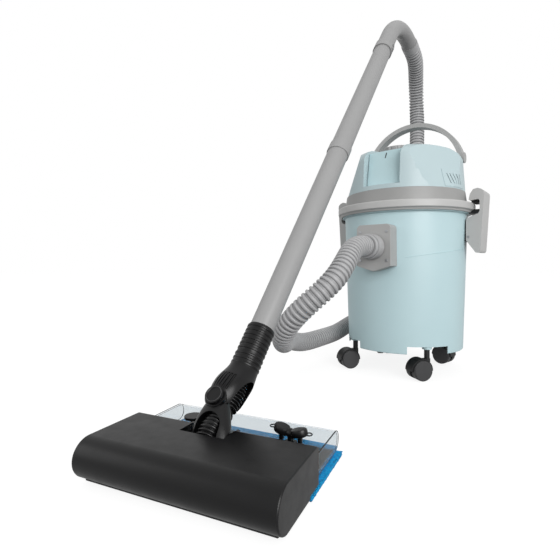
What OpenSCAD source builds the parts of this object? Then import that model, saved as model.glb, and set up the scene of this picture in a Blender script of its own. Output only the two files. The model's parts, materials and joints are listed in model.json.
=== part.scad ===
/* [Drum] */
// distance of the drum axis behind the frame origin
drum_back = 312; // [308:1:314]
// outer radius at the foot of the tank
tank_foot_r = 136; // [134:1:137]
// outer radius at the rim of the tank
tank_rim_r = 146; // [145:0.5:146]
// outer radius of the clamp ring
ring_r = 163; // [161:0.5:163]
// wall of the tank and covers
wall = 3; // [2.5:0.5:3]

/* [Castors] */
// radius of the castor circle
castor_circle = 125; // [123:1:125]
// wheel radius
wheel_r = 22; // [21:0.5:22]
// trail of the wheels behind the stem
trail = 19.5; // [19:0.5:20]

/* [Hose and wand] */
// outer radius of the wand tubes
tube_r = 20.5; // [20:0.5:20.5]
// length of the straight wand above the neck socket
wand_len = 850; // [840:5:860]
// radius of the handle bend
bend_r = 140; // [135:5:145]
// crest radius of the ribbed hose
hose_r = 22; // [21:0.5:22]
// ribs on the hose
hose_ribs = 190; // [150:10:190]

/* [Floor head] */
// place of the neck pivot across the floor
head_x = 22; // [20:1:24]
// place of the neck pivot along the floor
head_y = -357; // [-359:1:-355]
// turn of the head about the vertical
head_turn = 14.6; // [14:0.2:15]
// left end of the floor head from its pivot
head_left = 116; // [114:1:118]
// right end of the floor head from its pivot
head_right = 140; // [139:1:140]

/* [Hidden] */
$fn = 48;
ring_z0 = 376;
ring_z1 = 394;
inlet_z = 292;
cuff_len = 208;
roof_tilt = 8.3;
boss_y = 60;
boss_z = 514;
arch_z = 490;
latch_x = 153;
latch_y = 23;
latch_z = 316;
pitch_z = 38;
yoke_back = 46;
roll_up = 50;
side_lean = 6.8;
elbow = 8.6;
wand_off = 18.5;
socket_len = 122;
bell_at = 396;
grip_at = 770;
bend_deg = 70;
end_len = 20;
bend_twist = -7.8;
castor_deg = [225, 315, 45, 135];
trail_deg = [233, 233, 171, 129];

function move(x, y, z) = [[1, 0, 0, x], [0, 1, 0, y], [0, 0, 1, z], [0, 0, 0, 1]];
function turn_x(a) = [[1, 0, 0, 0], [0, cos(a), -sin(a), 0], [0, sin(a), cos(a), 0], [0, 0, 0, 1]];
function turn_y(a) = [[cos(a), 0, sin(a), 0], [0, 1, 0, 0], [-sin(a), 0, cos(a), 0], [0, 0, 0, 1]];
function turn_z(a) = [[cos(a), -sin(a), 0, 0], [sin(a), cos(a), 0, 0], [0, 0, 1, 0], [0, 0, 0, 1]];
function spot(m) = [m[0][3], m[1][3], m[2][3]];
function way(m) = [m[0][2], m[1][2], m[2][2]];

head_frame = move(head_x, head_y, 0) * turn_z(head_turn);
yoke_frame = head_frame * move(0, 0, pitch_z) * turn_x(-yoke_back);
roll_frame = yoke_frame * move(0, 0, roll_up) * turn_y(side_lean);
neck_frame = roll_frame * turn_x(elbow);
wand_frame = neck_frame * move(0, wand_off, socket_len);
bend_frame = wand_frame * move(0, 0, wand_len) * turn_z(bend_twist);
end_frame = bend_frame * move(0, bend_r, 0) * turn_x(-bend_deg) * move(0, -bend_r, end_len);

module drum() {
    translate([0, drum_back, 0]) children();
}
module at(m) {
    multmatrix(m) children();
}
module along_x(x0, x1, r) {
    translate([x0, 0, 0]) rotate([0, 90, 0]) cylinder(h = x1 - x0, r = r);
}
module along_y(y0, y1, r) {
    translate([0, y0, 0]) rotate([-90, 0, 0]) cylinder(h = y1 - y0, r = r);
}
module box(x0, x1, y0, y1, z0, z1) {
    translate([x0, y0, z0]) cube([x1 - x0, y1 - y0, z1 - z0]);
}
module tube(z0, z1, ro, ri) {
    translate([0, 0, z0]) difference() {
        cylinder(h = z1 - z0, r = ro);
        translate([0, 0, -1]) cylinder(h = z1 - z0 + 2, r = ri);
    }
}
module slab_x(x0, x1) {
    translate([x0, 0, 0]) rotate([90, 0, 90]) linear_extrude(height = x1 - x0) children();
}
module slab_y(y0, y1) {
    translate([0, y1, 0]) rotate([90, 0, 0]) linear_extrude(height = y1 - y0) children();
}
module lathe(p) {
    rotate_extrude($fn = 96) polygon(p);
}
module tank_cone(grow) {
    translate([0, 0, 55]) cylinder(h = 319, r1 = tank_foot_r + grow, r2 = tank_rim_r + grow, $fn = 96);
}

// drum tank
module tank() {
    color([0.73, 0.83, 0.85]) drum() difference() {
        union() {
            difference() {
                lathe([[0, 74], [tank_foot_r - 2.6, 74], [tank_foot_r - 3, 55], [tank_foot_r, 55],
                    [tank_rim_r - 0.1, 370], [tank_rim_r + 6, 370], [tank_rim_r + 6, ring_z0],
                    [tank_rim_r - wall, ring_z0], [tank_foot_r - 2.3, 77], [0, 77]]);
                for (a = castor_deg)
                    rotate([0, 0, a]) box(106, 150, -47, 47, 50, 72);
            }
            for (a = castor_deg)
                rotate([0, 0, a]) translate([castor_circle, 0, 66]) cylinder(h = 40, r = 10.4);
        }
        for (a = castor_deg)
            rotate([0, 0, a]) translate([castor_circle, 0, 60]) cylinder(h = 42, r = 6.05);
        translate([0, 0, inlet_z]) along_y(-160, -100, 25);
    }
}
module inlet_plate() {
    color([0.68, 0.69, 0.69]) drum() difference() {
        slab_y(-172, -118) union() {
            polygon([[-40, 250], [0, 238], [40, 250], [40, 331], [-40, 331]]);
            translate([-30, 330]) square([60, 11]);
            translate([-30, 331]) circle(r = 10);
            translate([30, 331]) circle(r = 10);
        }
        tank_cone(0.2);
        translate([0, 0, inlet_z]) along_y(-180, -100, 25);
    }
}
module inlet_screws() {
    color([0.3, 0.3, 0.31]) drum() for (x = [-31, 31], z = [262, 325])
        translate([x, 0, z]) along_y(-173.4, -172, 3);
}
module inlet_seal() {
    color([0.12, 0.12, 0.12]) drum() translate([0, 0, inlet_z]) difference() {
        along_y(-171, -136, 24.9);
        along_y(-172, -130, 22.6);
    }
}
module inlet_deflector() {
    color([0.2, 0.2, 0.21]) drum() intersection() {
        translate([0, 0, 77]) cylinder(h = 299, r1 = tank_foot_r - 2.6, r2 = tank_rim_r - wall - 0.3, $fn = 96);
        translate([0, 0, inlet_z]) difference() {
            along_y(-150, -92, 28);
            along_y(-151, -135.9, 25);
            along_y(-136, -122, 22.6);
            along_y(-123, -95, 25);
            box(-40, 40, -118, -80, -40, -8);
        }
    }
}
module hose_cuff() {
    color([0.62, 0.62, 0.62]) drum() translate([0, 0, inlet_z]) rotate([90, 0, 0])
        lathe([[17, 124], [22.5, 124], [22.5, 173.5], [27.5, 173.5], [27.5, 196], [24, 197],
            [24, 200], [26, 201], [25, cuff_len], [17, cuff_len]]);
}

// ribbed hose: a line through loose points, swept with ribs
hose_top = spot(end_frame);
hose_dir = way(end_frame);
hose_run = [[0, -148, 292], [0, -208, 292], [0, -268, 292], [20, -345, 230], [-25, -390, 180],
    [-80, -390, 130], [-120, -340, 85], [-170, -250, 90], [-180, -200, 55], [-180, -95, 65],
    [-185, -15, 65], [-190, 70, 85], [-175, 160, 100], [-140, 230, 160], [-95, 265, 240],
    [-65, 270, 330], [-60, 265, 420], [-60, 270, 510], [-70, 265, 600], [-75, 295, 685],
    [-80, 300, 750], [-75, 275, 805]];
hose_line = concat([for (p = hose_run) p + [0, drum_back, 0]],
    [hose_top + 90 * hose_dir, hose_top, hose_top - 90 * hose_dir]);
spans = len(hose_line) - 3;
rings = 2 * hose_ribs;
bores = 100;
sides = 8;

function blend(a, b, c, d, t) = (pow(1 - t, 3) * a + (3 * t * t * t - 6 * t * t + 4) * b
    + (-3 * t * t * t + 3 * t * t + 3 * t + 1) * c + t * t * t * d) / 6;
function on_line(u) = let (k = min(floor(u), spans - 1), t = u - k)
    blend(hose_line[k], hose_line[k + 1], hose_line[k + 2], hose_line[k + 3], t);
function unit(v) = v / norm(v);
function heading(u) = unit(on_line(min(u + 0.01, spans)) - on_line(max(u - 0.01, 0)));
function square_to(v, d) = unit(v - (v * d) * d);

hose_spots = [for (i = [0:rings]) on_line(spans * i / rings)];
hose_ways = [for (i = [0:rings]) heading(spans * i / rings)];
hose_sides = [for (i = 0, v = [1, 0, 0]; i <= rings; i = i + 1,
    v = square_to(v, hose_ways[min(i, rings)])) v];

function loop(i, r) = [for (k = [0:sides - 1]) let (a = 360 * k / sides)
    hose_spots[i] + r * (cos(a) * hose_sides[i] + sin(a) * cross(hose_ways[i], hose_sides[i]))];
function belt(a, b, flip) = [for (k = [0:sides - 1]) let (n = (k + 1) % sides)
    each (flip ? [[a + k, b + k, b + n], [a + k, b + n, a + n]]
        : [[a + k, b + n, b + k], [a + k, a + n, b + n]])];

module hose() {
    outer = [for (i = [0:rings]) each loop(i, (i < 4 || i > rings - 4 || i % 2 == 0) ? hose_r - 2 : hose_r)];
    inner = [for (i = [0:bores]) each loop(round(i * rings / bores), hose_r - 5)];
    base = len(outer);
    color([0.62, 0.62, 0.62]) polyhedron(points = concat(outer, inner), faces = concat(
        [for (i = [0:rings - 1]) each belt(i * sides, (i + 1) * sides, false)],
        [for (i = [0:bores - 1]) each belt(base + i * sides, base + (i + 1) * sides, true)],
        belt(0, base, true),
        belt(rings * sides, base + bores * sides, false)), convexity = 20);
}
module hose_end_cuff() {
    color([0.62, 0.62, 0.62]) at(end_frame)
        lathe([[22.05, -18], [24.6, -18], [24.6, -2], [23.5, 0], [17, 0], [17, -1.5], [22.05, -1.5]]);
}

// rim, clamp ring and motor head
module tank_gasket() {
    color([0.1, 0.1, 0.1]) drum() tube(ring_z0, 379, 151, 143.5);
}
module clamp_ring() {
    color([0.68, 0.68, 0.68]) drum() ring_shape();
}
module head_base() {
    color([0.64, 0.64, 0.64]) drum() lathe([[16, ring_z1], [145, ring_z1], [145, 398], [141.5, 424],
        [138, 424], [138, 398], [16, 398]]);
}
module dome(inset) {
    lathe([[0, 424 - inset], [141 - inset, 424 - inset], [139.5 - inset, 450], [137.5 - inset, 475],
        [136 - inset, 500 - inset], [130 - inset, 511 - inset], [118 - inset, 521 - inset],
        [100 - inset, 528 - inset], [70 - inset, 534 - inset], [30 - inset, 537 - inset],
        [0, 538 - inset]]);
}
module dome_cuts(inset) {
    for (s = [-1, 1]) {
        rotate([0, 0, -90 + s * 58]) translate([128 - inset, 0, 461]) rotate([0, -17, 0])
            box(0, 80, -110, 110, -60, 160);
        translate([s * (150.5 - inset), 0, 0]) box(-40, 40, 36 - inset, 160, 488 - inset, 580);
    }
    slab_x(-44 - inset, 44 + inset) polygon([[-170, 434 - inset], [-118.7 + inset, 434 - inset],
        [-100 + inset, 519 - inset], [-18 + inset, 531 - inset], [-18 + inset, 600], [-170, 600]]);
}
module vent_pod(a) {
    rotate([0, 0, a]) rotate_extrude(angle = 27, $fn = 96)
        polygon([[112, 427], [145, 427], [143.6, 462], [138, 468], [112, 468]]);
}
module motor_cover() {
    color([0.73, 0.83, 0.85]) drum() difference() {
        union() {
            difference() {
                dome(0);
                dome_cuts(0);
            }
            vent_pod(-29);
            vent_pod(110);
        }
        difference() {
            dome(3);
            dome_cuts(3);
        }
        for (a = [-15.5, 123.5], k = [-2:2])
            rotate([0, 0, a + 3.6 * k]) translate([120, 0, 446]) rotate([14, 0, 0])
                box(-20, 40, -1.1, 1.1, -12, 12);
        for (s = [-1, 1])
            translate([s * 110, boss_y, boss_z]) along_x(-15, 15, 4.05);
        translate([0, -52, 526.1]) rotate([roof_tilt, 0, 0]) cylinder(h = 20, r = 4, center = true);
        translate([0, 0, 442]) along_y(120, 160, 8.05);
    }
}
module control_panel() {
    color([0.75, 0.85, 0.87]) drum() translate([0, -118.7, 434]) rotate([-12.4, 0, 0]) difference() {
        slab_y(-3.05, -0.05) polygon([[-39, 3], [39, 3], [42.5, 85], [-42.5, 85]]);
        box(-0.7, 0.7, -4, -2.2, 72, 79);
    }
}
module switch_module() {
    color([0.15, 0.15, 0.16]) drum() translate([0, -52, 526.1]) rotate([roof_tilt, 0, 0]) difference() {
        box(-20, 20, -20, 20, -33, -4);
        translate([0, 0, -26]) cylinder(h = 30, r = 3.05);
    }
}
module power_knob() {
    color([0.55, 0.56, 0.56]) drum() translate([0, -52, 526.1]) rotate([roof_tilt, 0, 0]) difference() {
        union() {
            translate([0, 0, 0.5]) cylinder(h = 9.5, r = 27);
            translate([0, 0, 10]) cylinder(h = 2, r1 = 27, r2 = 24.5);
            translate([0, 0, -24]) cylinder(h = 25, r = 3);
        }
        for (k = [0:11])
            rotate([0, 0, 30 * k]) translate([29.5, 0, 3]) cylinder(h = 12, r = 4);
        box(-1, 1, -24, -12, 11, 13);
    }
}
module cord_gland() {
    color([0.1, 0.1, 0.1]) drum() translate([0, 0, 442]) difference() {
        union() {
            along_y(130, 154, 8);
            along_y(141.2, 144, 12);
        }
        along_y(120, 160, 4);
    }
}
module motor() {
    color([0.35, 0.36, 0.38]) drum() difference() {
        union() {
            translate([0, 0, 426]) cylinder(h = 5, r = 66);
            translate([0, 0, 431]) cylinder(h = 62, r = 46);
            translate([0, 0, 493]) cylinder(h = 12, r = 20);
        }
        translate([0, 0, 420]) cylinder(h = 62, r = 4.05);
    }
}
module fan_shroud() {
    color([0.2, 0.2, 0.21]) drum() lathe([[70, 398], [74, 398], [74, 426], [12, 426], [12, 423], [70, 423]]);
}
module impeller() {
    color([0.75, 0.76, 0.77]) drum() union() {
        translate([0, 0, 404]) cylinder(h = 2, r = 64);
        translate([0, 0, 404]) cylinder(h = 14, r = 9);
        translate([0, 0, 404]) cylinder(h = 76, r = 4);
        for (k = [0:8])
            rotate([0, 0, 40 * k]) box(8, 62, -1, 1, 405, 416);
    }
}
module float_cage() {
    color([0.2, 0.2, 0.21]) drum() union() {
        tube(388, ring_z1, 46, 16);
        tube(300, 306, 32, 12);
        for (k = [0:5])
            rotate([0, 0, 60 * k]) translate([27, 0, 305]) cylinder(h = 84, r = 3);
    }
}
module float_ball() {
    color([0.9, 0.9, 0.88]) drum() translate([0, 0, 322.1]) sphere(r = 20);
}
module filter_media() {
    n = 36;
    color([0.93, 0.92, 0.88]) drum() translate([0, 0, 262]) difference() {
        linear_extrude(height = 122) polygon([for (k = [0:2 * n - 1])
            (k % 2 == 0 ? 68 : 60) * [cos(180 * k / n), sin(180 * k / n)]]);
        translate([0, 0, -1]) cylinder(h = 124, r = 56);
    }
}
module filter_caps() {
    color([0.12, 0.12, 0.12]) drum() union() {
        tube(384, ring_z1, 72, 50);
        translate([0, 0, 254]) cylinder(h = 8, r = 72);
        translate([0, 0, 244]) cylinder(h = 10, r = 12);
        box(-26, 26, -3, 3, 240, 254);
    }
}
module handle_pins() {
    color([0.4, 0.4, 0.42]) drum() for (s = [0, 1])
        mirror([s, 0, 0]) translate([0, boss_y, boss_z]) along_x(105, 126.5, 4);
}
module bail_handle() {
    color([0.66, 0.67, 0.67]) drum() translate([0, boss_y, 0]) difference() {
        union() {
            slab_y(-13, 13) difference() {
                translate([0, arch_z]) circle(r = 130, $fn = 96);
                translate([0, arch_z]) circle(r = 119.4, $fn = 96);
                translate([-200, 300]) square([400, boss_z - 300]);
            }
            for (s = [0, 1])
                mirror([s, 0, 0]) translate([0, 0, boss_z]) along_x(111, 129.2, 12.9);
        }
        for (s = [0, 1])
            mirror([s, 0, 0]) translate([0, 0, boss_z]) along_x(100, 127.5, 4.05);
    }
}

// latches
module latch_mounts() {
    color([0.1, 0.1, 0.11]) drum() difference() {
        for (s = [0, 1])
            mirror([s, 0, 0]) box(134, 160, latch_y - 23, latch_y + 23, 307, 325);
        tank_cone(0.2);
        for (s = [-1, 1])
            translate([s * latch_x, latch_y, latch_z]) along_y(-31, 31, 3.05);
    }
}
module latch_pins() {
    color([0.5, 0.5, 0.52]) drum() for (s = [-1, 1])
        translate([s * latch_x, latch_y, latch_z]) along_y(-29, 29, 3);
}
module ring_shape() {
    lathe([[138, 379], [152.6, 379], [152.6, 372], [156, 372], [158, ring_z0], [ring_r, 378],
        [ring_r, 392], [ring_r - 2, ring_z1], [138, ring_z1]]);
}
module rim_brackets() {
    color([0.08, 0.08, 0.09]) drum() difference() {
        for (s = [0, 1])
            mirror([s, 0, 0]) box(150, 174, latch_y - 20, latch_y + 20, 369.8, 379);
        ring_shape();
        cylinder(h = 400, r = 152.8, $fn = 96);
    }
}
module latch(s) {
    mirror([s < 0 ? 1 : 0, 0, 0]) translate([0, latch_y, 0]) difference() {
        slab_y(-29, 29) polygon([[154, 400.5], [156.5, 413.5], [163, 423.5], [172, 425.7], [180, 423],
            [185.5, 417.5], [186.3, 411], [178.6, 285], [176, 280.5], [168.5, 280.5], [148.5, 308.5],
            [148.5, 354], [151, 359.8], [174, 368.5], [177, 373], [177, 396.5], [174.5, 400.5],
            [157, 398.6]]);
        slab_y(-25, 25) polygon([[130, 300], [164, 285.5], [172.5, 285.5], [175, 360], [168, 363],
            [130, 345]]);
        translate([latch_x, 0, latch_z]) along_y(-31, 31, 3.05);
    }
}
module latch_left() {
    color([0.68, 0.68, 0.68]) drum() latch(-1);
}
module latch_right() {
    color([0.68, 0.68, 0.68]) drum() latch(1);
}
module latch_pad_left() {
    color([0.08, 0.08, 0.09]) drum() box(-175.5, -158, 2, 44, 394.6, 398.4);
}
module latch_pad_right() {
    color([0.08, 0.08, 0.09]) drum() box(158, 175.5, 2, 44, 394.6, 398.4);
}

// castors
module castor_at(i) {
    drum() rotate([0, 0, castor_deg[i]]) translate([castor_circle, 0, 0])
        rotate([0, 0, trail_deg[i] - castor_deg[i]]) children();
}
module castor_fork(i) {
    color([0.13, 0.13, 0.14]) castor_at(i) difference() {
        union() {
            translate([0, 0, 41]) cylinder(h = 57, r = 6);
            translate([trail, 0, wheel_r]) along_y(-14, 14, wheel_r + 3.5);
            box(-5.5, trail, -4.5, 4.5, wheel_r, 46);
        }
        difference() {
            translate([trail, 0, wheel_r]) along_y(-30, 30, wheel_r + 0.8);
            box(-10, 60, -4.5, 4.5, wheel_r - 6, 60);
        }
        box(-40, 80, -30, 30, -10, wheel_r - 6);
        translate([trail, 0, 0]) box(-40, 40, 4.5, 30, -10, wheel_r - 1);
        translate([trail, 0, 0]) box(-40, 40, -30, -4.5, -10, wheel_r - 1);
        translate([trail, 0, wheel_r]) along_y(-30, 30, 3.05);
    }
}
module castor_wheels(i) {
    color([0.4, 0.4, 0.4]) castor_at(i) translate([trail, 0, wheel_r]) union() {
        along_y(5, 17.5, wheel_r);
        along_y(17.5, 19.5, wheel_r - 1.5);
        along_y(-17.5, -5, wheel_r);
        along_y(-19.5, -17.5, wheel_r - 1.5);
        along_y(-6, 6, 3);
    }
}
module castor_fork_1() {
    castor_fork(0);
}
module castor_fork_2() {
    castor_fork(1);
}
module castor_fork_3() {
    castor_fork(2);
}
module castor_fork_4() {
    castor_fork(3);
}
module castor_wheels_1() {
    castor_wheels(0);
}
module castor_wheels_2() {
    castor_wheels(1);
}
module castor_wheels_3() {
    castor_wheels(2);
}
module castor_wheels_4() {
    castor_wheels(3);
}

// wand
module handle_bend() {
    color([0.66, 0.66, 0.66]) union() {
        at(wand_frame) tube(792, wand_len, tube_r, tube_r - 1.8);
        at(bend_frame) translate([0, bend_r, 0]) rotate([90, 0, -90])
            rotate_extrude(angle = bend_deg, $fn = 96) translate([bend_r, 0]) difference() {
                circle(r = tube_r);
                circle(r = tube_r - 1.8);
            }
        at(end_frame) tube(-end_len, -1.8, 22, 18.7);
    }
}
module handle_cuff() {
    color([0.64, 0.64, 0.64]) at(wand_frame) difference() {
        tube(grip_at, 802, 22.9, tube_r + 0.05);
        box(10, 30, -5, 5, grip_at + 6, 794);
        box(-40, 40, -40, -8, 796, 820);
    }
}
module air_slide() {
    color([0.5, 0.5, 0.5]) at(wand_frame) union() {
        box(21, 24.4, -4.8, 4.8, grip_at + 6.2, 784);
        box(24, 26, -3, 3, grip_at + 9, 781);
    }
}
module wand_upper() {
    color([0.66, 0.66, 0.66]) at(wand_frame) tube(bell_at, 791, tube_r, tube_r - 1.8);
}
module wand_lower() {
    color([0.66, 0.66, 0.66]) at(wand_frame) union() {
        tube(-38, bell_at - 1, tube_r, tube_r - 1.8);
        tube(bell_at - 1, bell_at + 19, tube_r + 1.7, tube_r + 0.05);
        tube(bell_at - 5, bell_at - 1, tube_r + 1.7, tube_r - 1.8);
    }
}

// neck
module neck_socket() {
    color([0.13, 0.13, 0.14]) at(wand_frame) union() {
        tube(-44, 0, 22.2, tube_r + 0.05);
        for (k = [0:5])
            tube(-41 + 7 * k, -37.5 + 7 * k, 23.6, 22);
    }
}
module neck_upper() {
    color([0.11, 0.11, 0.12]) difference() {
        union() {
            at(roll_frame) along_y(-14.6, 8.4, 13.6);
            at(roll_frame) translate([0, -3.1, 0]) cylinder(h = 24, r = 11.5);
            at(neck_frame) translate([0, wand_off, 20]) cylinder(h = 20, r1 = 17, r2 = 22);
            at(neck_frame) translate([0, wand_off, 40]) cylinder(h = 38, r = 22.8);
            at(neck_frame) translate([0, 2, 18]) cylinder(h = 38, r = 14.6);
            at(neck_frame) translate([0, 2, 56]) cylinder(h = 14, r1 = 14.6, r2 = 6);
        }
        at(roll_frame) along_y(-30, 30, 4.05);
        at(neck_frame) translate([0, wand_off, 19]) cylinder(h = 60, r = 14.5);
        at(neck_frame) for (k = [0:4])
            translate([0, -15.5, 24 + 7 * k]) rotate([0, 90, 0]) cylinder(h = 40, r = 2.4, center = true);
    }
}
module neck_hose_upper() {
    color([0.09, 0.09, 0.1]) at(neck_frame) translate([3, 26.2, 0]) difference() {
        union() {
            translate([0, 0, -2]) cylinder(h = 22, r = 8.6);
            for (k = [0:3])
                translate([0, 0, -2 + 5 * k]) cylinder(h = 2.6, r = 10.4);
        }
        translate([0, 0, -20]) cylinder(h = 60, r = 6.6);
    }
}
module neck_lower() {
    color([0.1, 0.1, 0.11]) at(yoke_frame) difference() {
        union() {
            along_x(-25, 33, 10.5);
            box(-22, -16, -12, 11, 0, 34);
            box(16, 22, -12, 11, 0, 34);
            box(-22, 22, -20, 13, 27, 34);
            box(-14, 14, -20, -15.2, 30, roll_up);
            box(-14, 14, 9, 13, 30, roll_up);
            translate([0, 0, roll_up]) along_y(-20, -15.2, 14);
            translate([0, 0, roll_up]) along_y(9, 13, 14);
        }
        along_x(-30, -12, 4.05);
        along_x(20, 40, 4.05);
        translate([0, 0, roll_up]) along_y(-30, 30, 4);
        translate([0, -2, 20]) cylinder(h = 20, r = 8);
    }
}
module neck_hose_lower() {
    color([0.09, 0.09, 0.1]) at(yoke_frame) translate([0, -2, 0]) difference() {
        union() {
            translate([0, 0, 11]) cylinder(h = 16, r = 10);
            for (k = [0:2])
                translate([0, 0, 12 + 5 * k]) cylinder(h = 2.6, r = 12);
        }
        translate([0, 0, 9]) cylinder(h = 30, r = 8);
    }
}
module roll_pin() {
    color([0.16, 0.16, 0.17]) at(yoke_frame) translate([0, 0, roll_up]) union() {
        along_y(-20, 14, 4);
        along_y(-23.5, -20, 9);
        along_y(13, 14.2, 6);
    }
}

// floor head
module head_outline(g) {
    translate([-68, 28]) circle(r = 24 - g);
    translate([10, 44]) circle(r = 8 - g);
    translate([-68, 16 + g]) square([78, 36 - 2 * g]);
    translate([-68, 7 + g]) square([86 - g, 37 - g]);
    translate([-68, 4 + g]) square([59.5 - g, 22]);
}
module floor_housing() {
    color([0.14, 0.14, 0.15]) at(head_frame) difference() {
        union() {
            difference() {
                slab_x(6 - head_left, head_right - 6) head_outline(0);
                slab_x(5 - head_left, head_right - 5) head_outline(2.5);
                box(-head_left, head_right, -8.6, 30, 0, 13.6);
            }
            box(6 - head_left, head_right - 6, -11, 17.8, 13.6, 16.1);
            box(6 - head_left, head_right - 6, -11.2, -8.6, 4, 16);
            box(-30, 39, -18, 17.8, 15, 51);
        }
        box(-26.5, 35.5, -14, 40, 24, 70);
        translate([0, 0, pitch_z]) along_x(-34, 44, 4.05);
        box(-head_left, head_right, -78, -11.2, 0, 6.5);
        box(12 - head_left, head_right - 12, -80, -44, 0, 9);
        translate([4, 0, 10]) cylinder(h = 20, r = 10);
    }
}
module end_caps() {
    color([0.12, 0.12, 0.13]) at(head_frame) difference() {
        union() {
            slab_x(head_right - 6, head_right) head_outline(0);
            slab_x(-head_left, 6 - head_left) head_outline(0);
            translate([0, 0, pitch_z]) along_x(-32, -14, 4);
            translate([0, 0, pitch_z]) along_x(22, 41, 4);
        }
        translate([0, -62, 22.5]) along_x(3 - head_left, head_right - 3, 3.05);
    }
}
module base_plate() {
    color([0.1, 0.1, 0.1]) at(head_frame) union() {
        difference() {
            box(6.2 - head_left, head_right - 6.2, -77.8, -11.4, 3.4, 6.4);
            box(14 - head_left, head_right - 14, -74, -50, 0, 10);
        }
        for (x = [10.5 - head_left, head_right - 10.5])
            translate([x, 0, 0]) box(-2.5, 2.5, -72, -14, 0, 3.4);
    }
}
module brush_roller() {
    color([0.1, 0.35, 0.6]) at(head_frame) translate([0, -62, 22.5]) union() {
        along_x(15 - head_left, head_right - 15, 12);
        along_x(3.4 - head_left, head_right - 3.4, 3);
        for (k = [0:5])
            rotate([60 * k, 0, 0]) box(16 - head_left, head_right - 16, -1.6, 1.6, 0, 18.9);
    }
}
module tank_shape(g) {
    slab_x(3 - head_left + g, head_right - 3 - g) union() {
        translate([23 + g, 13 + g]) square([70 - g, 25.4 - 2 * g]);
        translate([93, 25.7]) circle(r = 12.7 - g);
    }
}
module water_tank() {
    color([0.85, 0.9, 0.92, 0.4]) at(head_frame) difference() {
        tank_shape(0);
        tank_shape(2);
        translate([-43, 36, 30]) cylinder(h = 20, r = 4);
        translate([98, 36, 30]) cylinder(h = 20, r = 4);
    }
}
module mop_plate() {
    color([0.08, 0.3, 0.5]) at(head_frame) box(7 - head_left, head_right - 7, -5, 108, 6.2, 13);
}
module mop_pad() {
    color([0.06, 0.52, 0.77]) at(head_frame) box(-1 - head_left, head_right + 1.5, -8, 113, 0, 6.2);
}
module fill_cap() {
    color([0.1, 0.1, 0.1]) at(head_frame) translate([-43, 36, 0]) union() {
        translate([0, 0, 33]) cylinder(h = 15, r = 3.9);
        translate([0, 0, 38.4]) cylinder(h = 2, r = 7);
        translate([0, 0, 47]) cylinder(h = 3.5, r = 12);
    }
}
module valve_knob() {
    color([0.1, 0.1, 0.1]) at(head_frame) translate([98, 36, 0]) union() {
        translate([0, 0, 31]) cylinder(h = 23, r = 3.95);
        translate([0, 0, 38.5]) cylinder(h = 2, r = 8);
        translate([0, 0, 52.6]) rotate([0, 0, -8]) union() {
            box(-22, 22, -2, 2, 0, 10);
            translate([-15, 0, 5.6]) along_y(-3, 3, 5.6);
            translate([15, 0, 5.6]) along_y(-3, 3, 5.6);
        }
    }
}

tank();
inlet_plate();
inlet_screws();
inlet_seal();
inlet_deflector();
hose_cuff();
hose();
hose_end_cuff();
tank_gasket();
clamp_ring();
head_base();
motor_cover();
control_panel();
switch_module();
power_knob();
cord_gland();
motor();
fan_shroud();
impeller();
float_cage();
float_ball();
filter_media();
filter_caps();
handle_pins();
bail_handle();
latch_mounts();
latch_pins();
rim_brackets();
latch_left();
latch_right();
latch_pad_left();
latch_pad_right();
castor_fork_1();
castor_fork_2();
castor_fork_3();
castor_fork_4();
castor_wheels_1();
castor_wheels_2();
castor_wheels_3();
castor_wheels_4();
handle_bend();
handle_cuff();
air_slide();
wand_upper();
wand_lower();
neck_socket();
neck_upper();
neck_hose_upper();
neck_lower();
neck_hose_lower();
roll_pin();
floor_housing();
end_caps();
base_plate();
brush_roller();
water_tank();
mop_plate();
mop_pad();
fill_cap();
valve_knob();
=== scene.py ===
import json
import math
import bmesh
import bpy
from mathutils import Matrix, Vector


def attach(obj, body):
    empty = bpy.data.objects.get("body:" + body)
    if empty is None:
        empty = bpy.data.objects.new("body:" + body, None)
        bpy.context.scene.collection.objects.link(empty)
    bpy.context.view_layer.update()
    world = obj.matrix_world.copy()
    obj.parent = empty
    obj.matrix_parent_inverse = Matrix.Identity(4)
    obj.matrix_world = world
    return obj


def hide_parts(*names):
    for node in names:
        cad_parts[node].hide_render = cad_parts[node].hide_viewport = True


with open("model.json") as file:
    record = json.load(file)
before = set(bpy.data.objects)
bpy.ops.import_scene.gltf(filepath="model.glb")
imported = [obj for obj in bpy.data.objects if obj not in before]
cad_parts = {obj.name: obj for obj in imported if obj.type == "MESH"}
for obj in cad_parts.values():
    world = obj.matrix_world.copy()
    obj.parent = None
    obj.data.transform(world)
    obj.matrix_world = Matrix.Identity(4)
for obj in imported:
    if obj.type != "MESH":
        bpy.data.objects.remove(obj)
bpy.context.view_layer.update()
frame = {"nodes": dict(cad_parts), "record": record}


def turned(axis, degrees):
    return Matrix.Rotation(math.radians(degrees), 4, axis)


def moved(x, y, z):
    return Matrix.Translation((x, y, z))


# the same chain of places as in the part's source, in metres
DRUM = moved(0, 0.312, 0)
HEAD = moved(0.022, -0.357, 0) @ turned("Z", 14.6)
YOKE = HEAD @ moved(0, 0, 0.038) @ turned("X", -46)
ROLL = YOKE @ moved(0, 0, 0.050) @ turned("Y", 6.8)
NECK = ROLL @ turned("X", 8.6)
WAND = NECK @ moved(0, 0.0185, 0.122)
BEND = WAND @ moved(0, 0, 0.850) @ turned("Z", -7.8)
HANDLE_END = BEND @ moved(0, 0.140, 0) @ turned("X", -70) @ moved(0, -0.140, 0.020)
ROOF = DRUM @ moved(0, -0.052, 0.5261) @ turned("X", 8.3)
PANEL = DRUM @ moved(0, -0.1187, 0.434) @ turned("X", -12.4)

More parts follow.
